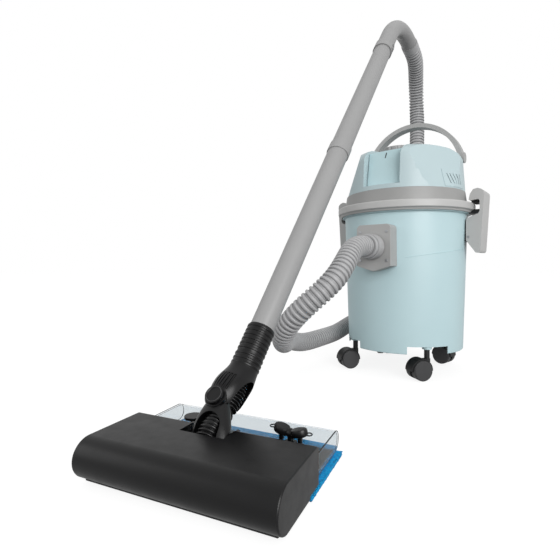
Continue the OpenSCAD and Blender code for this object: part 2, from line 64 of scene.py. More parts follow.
# camera: level, a little above the floor head
camera = bpy.data.objects.new("camera", bpy.data.cameras.new("camera"))
bpy.context.scene.collection.objects.link(camera)
camera.data.lens = 26.23
camera.data.sensor_width = 36
camera.data.shift_y = -0.025
camera.data.clip_start = 0.02
camera.rotation_euler = Vector((-0.629, 0.777, 0)).to_track_quat("-Z", "Y").to_euler()
camera.location = (0.4043, -0.6839, 0.250)
bpy.context.scene.camera = camera


# colours and finishes
def srgb(code):
    parts = [int(code[i:i + 2], 16) / 255 for i in (1, 3, 5)]
    return tuple(c / 12.92 if c <= 0.04045 else ((c + 0.055) / 1.055) ** 2.4 for c in parts) + (1,)


def node(material, kind, settings=None, sockets=None, links=None):
    """A new node of a material or world, with its settings, its sockets' values and what its sockets take in."""
    made = material.node_tree.nodes.new(kind)
    for key, value in (settings or {}).items():
        setattr(made, key, value)
    for key, value in (sockets or {}).items():
        made.inputs[key].default_value = value
    for key, source in (links or {}).items():
        material.node_tree.links.new(source, made.inputs[key])
    return made


def start(name, sockets):
    material = bpy.data.materials.new(name)
    material.use_nodes = True
    shader = material.node_tree.nodes["Principled BSDF"]
    for key, value in sockets.items():
        shader.inputs[key].default_value = value
    return material, shader, node(material, "ShaderNodeTexCoord").outputs["Object"]


def moulded(name, shade, deep, rough, grain_mm, depth_mm, ior=1.5, coat=0.0, crevice_mm=0):
    """Moulded plastic: its colour drifts by a shade over a hand's width, and its skin has the tool's fine grain.
    With crevice_mm, painted shade darkens the grooves that are about as deep as that."""
    material, shader, place = start(name, {"IOR": ior, "Coat Weight": coat, "Coat Roughness": 0.15})
    link = material.node_tree.links.new
    drift = node(material, "ShaderNodeTexNoise", None, {"Scale": 12.0, "Detail": 3.0}, {"Vector": place})
    tone = node(material, "ShaderNodeMix", {"data_type": "RGBA"}, {6: srgb(deep), 7: srgb(shade)},
        {0: drift.outputs["Fac"]})
    colour = tone.outputs[2]
    # painted shade: where ambient occlusion finds the surface hemmed in, the colour is mixed towards a dark gray
    if crevice_mm:
        open_side = node(material, "ShaderNodeAmbientOcclusion", {"samples": 4}, {"Distance": crevice_mm / 1000})
        unshaded_share = node(material, "ShaderNodeMapRange", None, {"From Min": 0.35, "From Max": 0.9},
            {"Value": open_side.outputs["AO"]})
        painted_groove_shade = node(material, "ShaderNodeMix", {"data_type": "RGBA"}, {6: srgb("#5e5e60")},
            {0: unshaded_share.outputs["Result"], 7: colour})
        colour = painted_groove_shade.outputs[2]
    link(colour, shader.inputs["Base Color"])
    grain = node(material, "ShaderNodeTexNoise", None, {"Scale": 1000 / grain_mm, "Detail": 2.0}, {"Vector": place})
    bump = node(material, "ShaderNodeBump", None, {"Strength": 0.5, "Distance": depth_mm / 1000},
        {"Height": grain.outputs["Fac"]})
    link(bump.outputs["Normal"], shader.inputs["Normal"])
    wear = node(material, "ShaderNodeTexNoise", None, {"Scale": 60.0, "Detail": 6.0}, {"Vector": place})
    sheen = node(material, "ShaderNodeMapRange", None,
        {"From Min": 0.3, "From Max": 0.7, "To Min": rough - 0.04, "To Max": rough + 0.05},
        {"Value": wear.outputs["Fac"]})
    link(sheen.outputs["Result"], shader.inputs["Roughness"])
    return material


def pile(name, shade, deep, loop_mm, depth_mm, sheen=0.35):
    """Looped microfibre: short loops a few millimetres apart, dull, with a soft sheen at grazing angles. Its colour
    turns deeper in the hollows between the loops, which is painted shade.
    """
    material, shader, place = start(name, {"Roughness": 0.95, "Sheen Weight": sheen,
        "Sheen Roughness": 0.5, "Specular IOR Level": 0.2})
    link = material.node_tree.links.new
    loops = node(material, "ShaderNodeTexVoronoi", None, {"Scale": 1000 / loop_mm}, {"Vector": place})
    # painted shade: the colour deepens with the distance that also sinks the bump, so the hollows between loops are
    # darker
    tone = node(material, "ShaderNodeMix", {"data_type": "RGBA"}, {6: srgb(shade), 7: srgb(deep)},
        {0: loops.outputs["Distance"]})
    link(tone.outputs[2], shader.inputs["Base Color"])
    bump = node(material, "ShaderNodeBump", {"invert": True}, {"Strength": 0.8, "Distance": depth_mm / 1000},
        {"Height": loops.outputs["Distance"]})
    link(bump.outputs["Normal"], shader.inputs["Normal"])
    return material


def worked_metal(name, shade, rough, line_mm, stretch):
    """Turned or drawn metal: fine lines run one way, so its highlight is drawn out."""
    material, shader, place = start(name, {"Metallic": 1.0, "Base Color": srgb(shade)})
    link = material.node_tree.links.new
    along = node(material, "ShaderNodeMapping", None, {"Scale": stretch}, {"Vector": place})
    lines = node(material, "ShaderNodeTexNoise", None, {"Scale": 1000 / line_mm, "Detail": 3.0},
        {"Vector": along.outputs["Vector"]})
    sheen = node(material, "ShaderNodeMapRange", None, {"To Min": rough - 0.06, "To Max": rough + 0.1},
        {"Value": lines.outputs["Fac"]})
    link(sheen.outputs["Result"], shader.inputs["Roughness"])
    bump = node(material, "ShaderNodeBump", None, {"Strength": 0.2, "Distance": 0.0001},
        {"Height": lines.outputs["Fac"]})
    link(bump.outputs["Normal"], shader.inputs["Normal"])
    return material


def clear_wall(name, tint, rough):
    """Clear moulded tank wall: it passes light nearly straight on, with a gloss on its skin and faint flow marks."""
    material, shader, place = start(name, {"Base Color": srgb(tint), "Roughness": rough, "IOR": 1.06,
        "Transmission Weight": 1.0, "Coat Weight": 0.25, "Coat Roughness": rough})
    link = material.node_tree.links.new
    flow = node(material, "ShaderNodeTexNoise", None, {"Scale": 30.0, "Detail": 2.0}, {"Vector": place})
    bump = node(material, "ShaderNodeBump", None, {"Strength": 0.1, "Distance": 0.001},
        {"Height": flow.outputs["Fac"]})
    link(bump.outputs["Normal"], shader.inputs["Normal"])
    return material


FINISH = {
    # ABS, spark-eroded mould with a light satin polish: soft highlights, even colour
    "shell": moulded("pale blue ABS", "#bbd4d8", "#b5ced3", 0.36, 1.2, 0.05),
    # the shell's ABS, darker and greyer on the motor cover as painted shade, where the key lamp lights the dome
    # brightly
    "cover": moulded("pale blue ABS with painted shade", "#b4c6c9", "#aec0c4", 0.38, 1.2, 0.05),
    "panel": moulded("pale blue ABS panel", "#b9d3d7", "#b3cdd2", 0.40, 1.2, 0.05),
    # polypropylene, finely grained: dull, waxy highlights
    "trim": moulded("gray polypropylene", "#a6a6a5", "#a0a09f", 0.44, 0.9, 0.06),
    # the same polypropylene as trim: darker as painted shade on the head's base ring, lighter as painted light on the
    # clamp ring and the latches
    "trim_painted_shade": moulded("gray polypropylene with painted shade", "#969695", "#90908f", 0.44, 0.9, 0.06),
    "trim_painted_light": moulded("gray polypropylene with painted light", "#b7b7b6", "#b1b1b0", 0.40, 0.9, 0.06),
    # EVA hose, blown: slightly waxy, with painted shade darkening its grooves
    "hose_gray": moulded("gray EVA hose", "#acacad", "#a5a5a6", 0.42, 1.5, 0.05, crevice_mm=5),
    # extruded polypropylene tube: smoother than the moulded pieces
    "tube_gray": moulded("gray tube polypropylene", "#969696", "#909090", 0.36, 1.4, 0.03),
    # glass-filled nylon: fine dark grain
    "black": moulded("black nylon", "#101011", "#0c0c0d", 0.42, 0.8, 0.08),
    # ABS, satin: broad soft highlight on the floor head
    "black_gloss": moulded("charcoal ABS", "#09090a", "#070708", 0.34, 0.9, 0.05, 1.4),
    # the swivel neck's ABS is polished, and its inner hose is soft PVC with a wet sheen
    "neck_black": moulded("polished black ABS", "#0c0c0d", "#09090a", 0.30, 1.4, 0.03, 1.4),
    "bellows_black": moulded("black soft PVC", "#0e0e0f", "#0a0a0b", 0.26, 1.2, 0.03, 1.45),
    "castor_face": moulded("dark gray polyamide wheel", "#3c3c3d", "#353536", 0.42, 1.0, 0.06),
    # vulcanised rubber: dull and slightly dusty
    "rubber": moulded("black nitrile rubber", "#1d1d1d", "#161616", 0.7, 0.7, 0.10),
    "ball": moulded("white polypropylene float", "#e8e6df", "#dedcd4", 0.45, 1.2, 0.05),
    "motor_metal": moulded("stove enamel on steel", "#3c3f43", "#34373b", 0.4, 1.5, 0.05),
    "plate_blue": moulded("blue polypropylene", "#00a4e2", "#0092d0", 0.5, 1.0, 0.06, 1.3),
    "steel": worked_metal("turned zinc-plated steel", "#a9abae", 0.35, 0.3, (1.0, 0.1, 1.0)),
    "fan_metal": worked_metal("pressed aluminium", "#c7c9cb", 0.35, 0.4, (1.0, 1.0, 0.1)),
    "filter": pile("pleated polyester felt", "#e9e4d6", "#cfc8b6", 1.5, 0.3),
    "mop": pile("blue looped microfibre", "#00a2d6", "#007ab4", 3.2, 1.6, 0.05),
    "bristle": pile("blue nylon brush fibre", "#1d6fb0", "#0f4c86", 1.0, 0.6),
    "clear": clear_wall("clear SAN tank wall", "#e6eaec", 0.03),
    # painted shade: a dark colour for clear plastic where it is seen through its own thickness
    "clear_painted_edge_shade": moulded("painted dark edge of clear SAN", "#1f2427", "#1a1f22", 0.15, 1.0, 0.01),
}
# each CAD node's material slot and body, from the part's record
slot_of = {entry["node"]: entry["material_slot"] for entry in frame["record"]["subparts"]}
body_of = {name: body for body, names in frame["record"]["behaviour"]["bodies"].items() for name in names}


# making and finishing pieces
UPRIGHT = Matrix.Identity(4)


def fresh(add, name=None, **settings):
    """A new primitive, made while nothing else is selected."""
    bpy.ops.object.select_all(action="DESELECT")
    add(**settings)
    piece = bpy.context.object
    piece.name = name or piece.name
    return piece


def from_faces(name, corners, faces):
    """A new piece from its corners and faces."""
    mesh = bpy.data.meshes.new(name)
    mesh.from_pydata([tuple(corner) for corner in corners], [], faces)
    mesh.update()
    piece = bpy.data.objects.new(name, mesh)
    bpy.context.scene.collection.objects.link(piece)
    return piece


def alone(piece):
    bpy.ops.object.select_all(action="DESELECT")
    piece.select_set(True)
    bpy.context.view_layer.objects.active = piece


def apply_all(piece):
    alone(piece)
    for modifier in list(piece.modifiers):
        bpy.ops.object.modifier_apply(modifier=modifier.name)


def finished(piece, finish, body, angle=30):
    """Gives a piece its finish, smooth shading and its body."""
    alone(piece)
    bpy.ops.object.shade_smooth_by_angle(angle=math.radians(angle))
    even = piece.modifiers.new("even shading", "WEIGHTED_NORMAL")
    even.weight = 90
    even.keep_sharp = True
    apply_all(piece)
    piece.data.materials.clear()
    piece.data.materials.append(FINISH[finish])
    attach(piece, body)
    return piece


def sharp_edges(piece, angle):
    """The edges of a piece where two faces meet at more than the angle."""
    edit = bmesh.new()
    edit.from_mesh(piece.data)
    found = {line.index for line in edit.edges
        if len(line.link_faces) == 2 and line.calc_face_angle(0) > math.radians(angle)}
    edit.free()
    return found


def eased(name, edge=0.0008, finish=None, angle=30, flat=0.4, reshape=None, only=None):
    """A CAD node's own shape with merged faces and eased edges, which stands for that node."""
    source = frame["nodes"][name]
    piece = bpy.data.objects.new(name + "_eased", source.data.copy())
    bpy.context.scene.collection.objects.link(piece)
    alone(piece)
    bpy.ops.object.mode_set(mode="EDIT")
    bpy.ops.mesh.select_all(action="SELECT")
    bpy.ops.mesh.remove_doubles(threshold=0.000005)
    bpy.ops.mesh.dissolve_limited(angle_limit=math.radians(flat), delimit={"NORMAL"})
    bpy.ops.object.mode_set(mode="OBJECT")
    if reshape:
        for vertex in piece.data.vertices:
            vertex.co = reshape(vertex.co)
        piece.data.update()
    if edge:
        bevel = piece.modifiers.new("edge", "BEVEL")
        bevel.width = edge
        bevel.segments = 2
        bevel.limit_method = "ANGLE"
        bevel.angle_limit = math.radians(angle)
        if only:
            bevel.limit_method = "WEIGHT"
            weights = piece.data.attributes.new("bevel_weight_edge", "FLOAT", "EDGE").data
            sharp = sharp_edges(piece, angle)
            for line in piece.data.edges:
                ends = [piece.data.vertices[v].co for v in line.vertices]
                weights[line.index].value = 1.0 if line.index in sharp and all(only(end) for end in ends) else 0.0
        apply_all(piece)
    finished(piece, finish or slot_of[name], body_of[name], angle + 5)
    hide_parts(name)
    return piece


def put(piece, place):
    piece.data.transform(place)
    piece.data.update()
    return piece


def lofted(name, sections, sides=64):
    """An open tube through oval sections (x, y, z, half width, half depth), in millimetres."""
    piece = fresh(bpy.ops.mesh.primitive_circle_add, name, vertices=sides, radius=0.001)
    bpy.ops.object.mode_set(mode="EDIT")
    bpy.ops.mesh.select_all(action="SELECT")
    x, y, z, wide, deep = sections[0]
    bpy.ops.transform.resize(value=(wide, deep, 1))
    bpy.ops.transform.translate(value=(x / 1000, y / 1000, z / 1000))
    for last, here in zip(sections, sections[1:]):
        step = [(b - a) / 1000 for a, b in zip(last[:3], here[:3])]
        bpy.ops.mesh.extrude_region_move(TRANSFORM_OT_translate={"value": step})
        bpy.ops.transform.resize(value=(here[3] / last[3], here[4] / last[4], 1),
            center_override=[c / 1000 for c in here[:3]])
    bpy.ops.mesh.select_all(action="SELECT")
    bpy.ops.mesh.normals_make_consistent(inside=False)
    bpy.ops.object.mode_set(mode="OBJECT")
    return piece


def walled(piece, wall, levels=1):
    """Rounds a tube off and gives it a wall, inwards, in metres."""
    round_off = piece.modifiers.new("round", "SUBSURF")
    round_off.levels = round_off.render_levels = levels
    shell = piece.modifiers.new("wall", "SOLIDIFY")
    shell.thickness = wall
    shell.offset = -1
    apply_all(piece)
    return piece


def cut(piece, tool):
    """Takes the tool's shape out of the piece and removes the tool."""
    taken = piece.modifiers.new("cut", "BOOLEAN")
    taken.operation = "DIFFERENCE"
    taken.solver = "EXACT"
    taken.object = tool
    apply_all(piece)
    bpy.data.objects.remove(tool)
    return piece


def round_bar(radius, length, centre, turn=UPRIGHT, sides=48):
    """A round bar about its centre, in millimetres, turned from upright."""
    bar = fresh(bpy.ops.mesh.primitive_cylinder_add, vertices=sides, radius=radius / 1000, depth=length / 1000)
    return put(bar, moved(*(c / 1000 for c in centre)) @ turn)


def ring_bar(name, radius, thick, sides, thick_sides):
    """A round wire ring, in metres, flat round its own middle."""
    return fresh(bpy.ops.mesh.primitive_torus_add, name, major_radius=radius, minor_radius=thick,
        major_segments=sides, minor_segments=thick_sides)


def block(low, high):
    """A box between two corners, in millimetres."""
    size = [(b - a) / 1000 for a, b in zip(low, high)]
    middle = moved(*((a + b) / 2000 for a, b in zip(low, high)))
    return put(fresh(bpy.ops.mesh.primitive_cube_add, size=1), middle @ Matrix.Diagonal((*size, 1)))


def softened(piece, width, angle=35):
    """Rounds off the edges that are sharper than the angle."""
    edge = piece.modifiers.new("edge", "BEVEL")
    edge.width = width
    edge.segments = 2
    edge.limit_method = "ANGLE"
    edge.angle_limit = math.radians(angle)
    apply_all(piece)
    return piece


def measured(track):
    """How far along the track each of its points lies."""
    run = [0.0]
    for a, b in zip(track, track[1:]):
        run.append(run[-1] + (b - a).length)
    return run


def spaced(track, shares):
    """The points at the given shares of the track's length, which rise."""
    run, found, low = measured(track), [], 0
    for share in shares:
        want = run[-1] * share
        while low < len(track) - 2 and run[low + 1] < want:
            low += 1
        found.append(track[low].lerp(track[low + 1], (want - run[low]) / (run[low + 1] - run[low])))
    return found


def tube(name, centres, radii, sides=32):
    """A closed tube of round sections along the centres, each with a radius of its own, in metres."""
    side, corners = Vector((1, 0, 0)), []
    around = [2 * math.pi * k / sides for k in range(sides)]
    for i, (centre, radius) in enumerate(zip(centres, radii)):
        way = (centres[min(i + 1, len(centres) - 1)] - centres[max(i - 1, 0)]).normalized()
        side = (side - side.dot(way) * way).normalized()
        across = way.cross(side)
        corners += [centre + radius * (math.cos(a) * side + math.sin(a) * across) for a in around]
    faces = [(i * sides + k, i * sides + (k + 1) % sides, (i + 1) * sides + (k + 1) % sides, (i + 1) * sides + k)
        for i in range(len(centres) - 1) for k in range(sides)]
    faces.append(tuple(reversed(range(sides))))
    faces.append(tuple(range((len(centres) - 1) * sides, len(centres) * sides)))
    return from_faces(name, corners, faces)


def thin_line(name, points, radius, finish, body, closed=False):
    """A round wire through the points, for a seam or an edge line."""
    curve = bpy.data.curves.new(name, "CURVE")
    curve.dimensions = "3D"
    curve.bevel_depth = radius
    track = curve.splines.new("POLY")
    track.points.add(len(points) - 1)
    track.use_cyclic_u = closed
    for spot, point in zip(track.points, points):
        spot.co = (*point, 1)
    line = bpy.data.objects.new(name, curve)
    bpy.context.scene.collection.objects.link(line)
    alone(line)
    bpy.ops.object.convert(target="MESH")
    return finished(bpy.context.object, finish, body, 60)


def turned_shell(name, profile, sides=192):
    """A closed ring or cup from a profile of (radius, height) in millimetres round the Z axis."""
    piece = lofted(name, [(0, 0, z, r, r) for r, z in profile + profile[:1]], sides)
    alone(piece)
    bpy.ops.object.mode_set(mode="EDIT")
    bpy.ops.mesh.select_all(action="SELECT")
    bpy.ops.mesh.remove_doubles(threshold=0.000002)
    bpy.ops.mesh.normals_make_consistent(inside=False)
    bpy.ops.object.mode_set(mode="OBJECT")
    return piece


# ribbed hose: the route of the part's source, a few millimetres straighter near its top, with a bead every 9.5 mm
def spline(points, k, t):
    """The point at t of the smooth curve's stretch k, which passes near its points and not through them."""
    a, b, c, d = points[k:k + 4]
    weights = ((1 - t) ** 3, 3 * t ** 3 - 6 * t ** 2 + 4, -3 * t ** 3 + 3 * t ** 2 + 3 * t + 1, t ** 3)
    return (a * weights[0] + b * weights[1] + c * weights[2] + d * weights[3]) / 6


hose_run = [(0, -148, 292), (0, -208, 292), (0, -268, 292), (20, -345, 230), (-25, -390, 180),
    (-80, -390, 130), (-120, -340, 85), (-171, -254, 84), (-181, -197, 60), (-180, -95, 65),
    (-185, -15, 65), (-190, 70, 85), (-175, 160, 100), (-140, 230, 160), (-95, 265, 240),
    (-65, 270, 330), (-60, 265, 420), (-60, 270, 510), (-69, 268, 600), (-73, 290, 685),
    (-78, 295, 750), (-72, 275, 800), (-60, 240, 837)]
RIBS = 190
# one bead: share of its pitch, radius in millimetres
BEAD = [(0.0, 18.6), (0.15, 18.7), (0.23, 20.9), (0.35, 21.8), (0.5, 21.95), (0.65, 21.8), (0.77, 20.9), (0.85, 18.7)]
PLAIN_RADIUS = 20.0
STEPS = 60
hose_end = HANDLE_END.to_translation()
lead_in = 0.045 * (HANDLE_END.to_3x3() @ Vector((0, 0, 1)))
hose_points = [DRUM @ (Vector(p) / 1000) for p in hose_run] + [hose_end + lead_in, hose_end, hose_end - lead_in]
fine = [spline(hose_points, k, s / STEPS) for k in range(len(hose_points) - 3) for s in range(STEPS)]
fine.append(hose_end.copy())
stations = [(i + f, r) for i in range(RIBS) for f, r in BEAD] + [(RIBS, PLAIN_RADIUS)]
hose = tube("ribbed_hose", spaced(fine, [place / RIBS for place, radius in stations]),
    [(PLAIN_RADIUS if place < 0.6 or place > RIBS - 0.6 else radius) / 1000 for place, radius in stations])
finished(hose, "hose_gray", "drum", 60)
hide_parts("hose")

# tank: turned wall with a rolled rim, four castor notches and bosses, and the inlet hole
CASTOR_BEARINGS = (225, 315, 45, 135)
TANK_PROFILE = [(1, 77), (132.4, 77), (133.7, 78.5), (143, 376), (151, 376), (152, 375), (152, 371), (151, 370),
    (146.4, 370), (145.85, 368.5), (136.1, 57), (135.4, 55.4), (134.5, 55), (133.4, 55.6), (133.3, 74), (1, 74)]
tank = turned_shell("turned_tank", TANK_PROFILE)
for turn in CASTOR_BEARINGS:
    notch = block((106, -47, 40), (150, 47, 72))
    cut(tank, put(notch, turned("Z", turn)))
cut(tank, round_bar(25, 60, (0, -140, 292), turned("X", 90), 96))
softened(tank, 0.0009, 40)
finished(put(tank, DRUM), "shell", "drum", 35)
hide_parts("tank")
for turn in CASTOR_BEARINGS:
    boss = round_bar(10.4, 8.5, (125, 0, 70.2))
    cut(boss, round_bar(6.05, 20, (125, 0, 70)))
    softened(boss, 0.0006)
    boss.name = "castor_boss_%d" % turn
    finished(put(boss, DRUM @ turned("Z", turn)), "shell", "drum")

# the tank's faint mould seam, which rises a little round its right side
SEAM_FOOT, SEAM_RISE, SEAM_DEGREES = 269, 22, 65
seam_line = []
for k in range(SEAM_DEGREES + 1):
    rise = SEAM_FOOT + SEAM_RISE * k / SEAM_DEGREES
    out = 135.5 + (rise - 55) * 11 / 315 + 0.1
    bearing = math.radians(k - 66)
    seam_line.append(DRUM @ (Vector((out * math.cos(bearing), out * math.sin(bearing), rise)) / 1000))
thin_line("tank_seam", seam_line, 0.0004, "panel", "drum")


# shapes that are drawn in a little, as functions of a place on the piece
def slimmer(spot):
    """The lower tube and its collar draw in by 11 % towards the floor head."""
    here = WAND.inverted() @ spot
    drawn_in, tube_length = 0.112, 0.396
    factor = 1 - drawn_in + drawn_in * min(1, max(0, here.z / tube_length))
    return WAND @ Vector((here.x * factor, here.y * factor, here.z))


def flush_pod(spot):
    """The two vent fields lie 1 mm proud of the cover's own surface, which is a dome with one flat."""
    here = DRUM.inverted() @ spot
    turn, z, r = math.degrees(math.atan2(here.y, here.x)), here.z * 1000, math.hypot(here.x, here.y) * 1000
    if not (426.2 < z < 468.5 and (-29.5 < turn < -1.5 or 109.5 < turn < 137.5)):
        return spot
    dome = 141 - (z - 424) * 1.5 / 26 if z < 450 else 139.5 - (z - 450) * 2 / 25
    flat = (128 - 0.3057 * (z - 461)) / max(0.3, math.cos(math.radians(turn + 32)))
    factor = min(1, (min(dome, flat) + 1.0) / r)
    return DRUM @ Vector((here.x * factor, here.y * factor, here.z))


def flush_cuff(spot):
    """The cuff at the handle's end is drawn in to the hose's own size."""
    here = HANDLE_END.inverted() @ spot
    factor = min(1, 0.0221 / max(0.001, math.hypot(here.x, here.y)))
    return HANDLE_END @ Vector((here.x * factor, here.y * factor, here.z))


def outer_end(spot):
    x = (HEAD.inverted() @ spot).x * 1000
    return x < -115.5 or x > 139.5


# edges eased on every CAD piece, in metres: small on hardware, larger on covers
ONLY = {"end_caps": outer_end}
RESHAPE = {"hose_end_cuff": flush_cuff, "wand_lower": slimmer, "neck_socket": slimmer, "motor_cover": flush_pod}
SOFT_EDGES = {"inlet_plate": 0.003, "clamp_ring": 0.0012, "head_base": 0.001,
    "motor_cover": 0.0012, "bail_handle": 0.0022, "latch_left": 0.0014, "latch_right": 0.0014,
    "power_knob": 0.0008, "floor_housing": 0.0001, "end_caps": 0.0022, "water_tank": 0.0010,
    "hose_cuff": 0.0008, "filter_media": 0.0, **{"castor_fork_%d" % k: 0.0008 for k in range(1, 5)}}
MADE_ANEW = ("hose", "tank", "mop_pad", "neck_upper", "neck_lower", "neck_hose_upper", "neck_hose_lower", "roll_pin",
    "valve_knob")
LOOKS = {"control_panel": "panel", "neck_socket": "neck_black", "motor_cover": "cover", "head_base": "trim_painted_shade",
    "clamp_ring": "trim_painted_light", "latch_left": "trim_painted_light", "latch_right": "trim_painted_light"}
for name in sorted(frame["nodes"]):
    if name not in MADE_ANEW:
        eased(name, SOFT_EDGES.get(name, 0.0005), LOOKS.get(name), reshape=RESHAPE.get(name),
            only=ONLY.get(name))


def bellows(name, points, radius, pitch, body, replaced):
    """A short ribbed inner hose that passes through a few points."""
    full = [points[0] * 2 - points[1]] + points + [points[-1] * 2 - points[-2]]
    def smooth(k, t):
        a, b, c, d = full[k:k + 4]
        return 0.5 * (2 * b + (c - a) * t + (2 * a - 5 * b + 4 * c - d) * t * t + (3 * b - a - 3 * c + d) * t ** 3)
    track = [smooth(k, s / 24) for k in range(len(points) - 1) for s in range(24)] + [points[-1]]
    swell, groove = (0.0, 0.35, 0.9, 1.0, 0.9, 0.35), 0.0026
    last = max(2, int(measured(track)[-1] / pitch)) * len(swell)
    piece = tube(name, spaced(track, [i / last for i in range(last + 1)]),
        [radius - groove + groove * swell[i % len(swell)] for i in range(last + 1)])
    finished(piece, "bellows_black", body, 60)
    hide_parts(replaced)


# swivel neck: an upper shell with a window on each side and flutes in front, and three thin rings above it
NECK_WALL = 0.0026
NECK_SECTIONS = [(0, 4, -10, 14, 17), (0, 6, 1, 21.5, 25.5), (0, 8, 13, 24.5, 28), (0, 10, 26, 25.5, 28),
    (0, 13.5, 38, 24, 25.5), (0, 17, 48, 21.6, 22.4), (0, 18.5, 57, 20.4, 20.6), (0, 18.5, 68, 20.2, 20.2),
    (0, 18.5, 78.5, 20.2, 20.2)]
RING_PROFILE = [(19, 58), (20.4, 58), (21.2, 58.7), (21.2, 61), (20.4, 61.7), (19, 61.7)]
FLUTE_DEPTHS = (-13.9, -15.4, -15.9, -15.4, -13.9)
shell = walled(lofted("neck_shell", NECK_SECTIONS), NECK_WALL)
cut(shell, put(round_bar(19, 90, (0, 0, 0), turned("Y", 90)), moved(0, 0.012, 0.015) @ turned("X", -24)
    @ Matrix.Diagonal((1, 0.95, 1.42, 1))))
cut(shell, block((-45, -10, -40), (45, 30, 1)))
for k, depth in enumerate(FLUTE_DEPTHS):
    cut(shell, round_bar(1.7, 25, (-9.6 + 4.8 * k, depth, 27), turned("X", -19), 20))
softened(shell, 0.0006)
finished(put(shell, NECK), "neck_black", "wand")
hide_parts("neck_upper")
for k in range(3):
    ring = turned_shell("neck_ring_%d" % k, RING_PROFILE, 64)
    finished(put(ring, NECK @ moved(0, 0.0185, 0.007 * k)), "neck_black", "wand", 50)
lobe = round_bar(14.6, 8, (0, -14.9, 0), turned("X", 90))
lobe.name = "neck_lobe"
finished(put(softened(lobe, 0.0012), ROLL), "neck_black", "wand")

# its lower sleeve, with an arch in front
SLEEVE_SECTIONS = [(6, -1, -1, 28, 12.5), (5.5, -2, 10, 27, 14.5), (3.5, -3, 24, 24.5, 16), (1.5, -3, 38, 19.5, 15),
    (0, -3, 50, 15, 13), (0, -3, 60, 9, 11)]
sleeve = walled(lofted("neck_sleeve", SLEEVE_SECTIONS), NECK_WALL)
cut(sleeve, round_bar(17, 40, (3.5, -22, 13), turned("X", 90)))
cut(sleeve, block((-13.5, -42, -20), (20.5, -2, 13)))
cut(sleeve, block((-40, 4, 20), (40, 40, 80)))
softened(sleeve, 0.0006)
finished(put(sleeve, YOKE), "neck_black", "yoke")
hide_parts("neck_lower")

# its ribbed inner hose, in two stretches
upper_line = [(0, 18.5, 56), (0, 19, 36), (1, 18, 16), (1, 14, -2)]
lower_line = [(1, 12, 44), (2, 5, 28), (3, -1, 12), (3.5, -3, -4), (3.5, -3, -10)]
bellows("neck_bellows_upper", [NECK @ (Vector(p) / 1000) for p in upper_line], 0.0152, 0.0042, "wand",
    "neck_hose_upper")
bellows("neck_bellows_lower", [YOKE @ (Vector(p) / 1000) for p in lower_line], 0.0150, 0.0046, "yoke",
    "neck_hose_lower")

# round cap on the neck's pivot, with a step, and a thin lighter ring on its rim that is a painted highlight
cap = fresh(bpy.ops.mesh.primitive_cylinder_add, "roll_cap", vertices=48, radius=0.0123, depth=0.006)
bpy.ops.object.mode_set(mode="EDIT")
bpy.ops.mesh.select_all(action="DESELECT")
bpy.ops.mesh.select_mode(type="FACE")
edit = bmesh.from_edit_mesh(cap.data)
for face in edit.faces:
    face.select = face.normal.z > 0.9
bmesh.update_edit_mesh(cap.data)
bpy.ops.mesh.inset(thickness=0.0022, depth=0.0)
bpy.ops.mesh.inset(thickness=0.0006, depth=-0.0012)
bpy.ops.object.mode_set(mode="OBJECT")
softened(cap, 0.0006)
put(cap, moved(0, -0.0205, 0) @ turned("X", 90))
finished(put(cap, ROLL), "black_gloss", "yoke")
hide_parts("roll_pin")
# painted highlight: a thin ring in the lighter wheel gray stands for the bright line along the cap's rim
ring = ring_bar("roll_cap_highlight_ring", 0.0103, 0.0005, 64, 8)
finished(put(ring, ROLL @ moved(0, -0.0236, 0) @ turned("X", 90)), "castor_face", "yoke")

# valve knob: two round wings on a stem, with a small clear loop at each end, drawn dark in the painted edge shade
def ball(centre, size):
    """A ball drawn out to its half sizes, in millimetres."""
    piece = fresh(bpy.ops.mesh.primitive_uv_sphere_add, segments=40, ring_count=20, radius=0.001)
    return put(piece, moved(*(c / 1000 for c in centre)) @ Matrix.Diagonal((*size, 1)))


def one_piece(name, pieces):
    """Joins the pieces under one name."""
    bpy.ops.object.select_all(action="DESELECT")
    for piece in pieces:
        piece.select_set(True)
    bpy.context.view_layer.objects.active = pieces[0]
    bpy.ops.object.join()
    pieces[0].name = name
    return pieces[0]


VALVE = HEAD @ moved(0.098, 0.036, 0) @ turned("Z", -8)
wings = []
for side in (-1, 1):
    wing = put(round_bar(9.6, 9.5, (0, 0, 0)), Matrix.Diagonal((1.12, 0.92, 1, 1)))
    wings.append(put(softened(wing, 0.0028), moved(side * 0.0118, 0, 0.0535) @ turned("Y", -side * 14)))
wings += [ball((0, 0, 51), (9, 5.6, 5.4)), round_bar(3.95, 24, (0, 0, 43)), round_bar(8, 2, (0, 0, 39.5))]
wings += [round_bar(3, 9, (side * 13, 0, 45)) for side in (-1, 1)]
knob = put(one_piece("valve_wings", wings), VALVE)
finished(knob, "neck_black", "valve")
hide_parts("valve_knob")
for side in (-1, 1):
    loop = ring_bar("valve_loop_%d" % side, 0.004, 0.0008, 32, 10)
    # the clear loops take the painted edge shade in place of a clear finish
    finished(put(loop, VALVE @ moved(side * 0.0245, 0, 0.0545)), "clear_painted_edge_shade", "valve")

# the index line that the knob on the panel points at
tick = put(block((-1.2, -3.2, -6.5), (1.2, -1.6, 6.5)), moved(0, 0, 0.0735) @ turned("Y", 10))
tick.name = "panel_tick"
finished(put(tick, PANEL), "black", "drum")

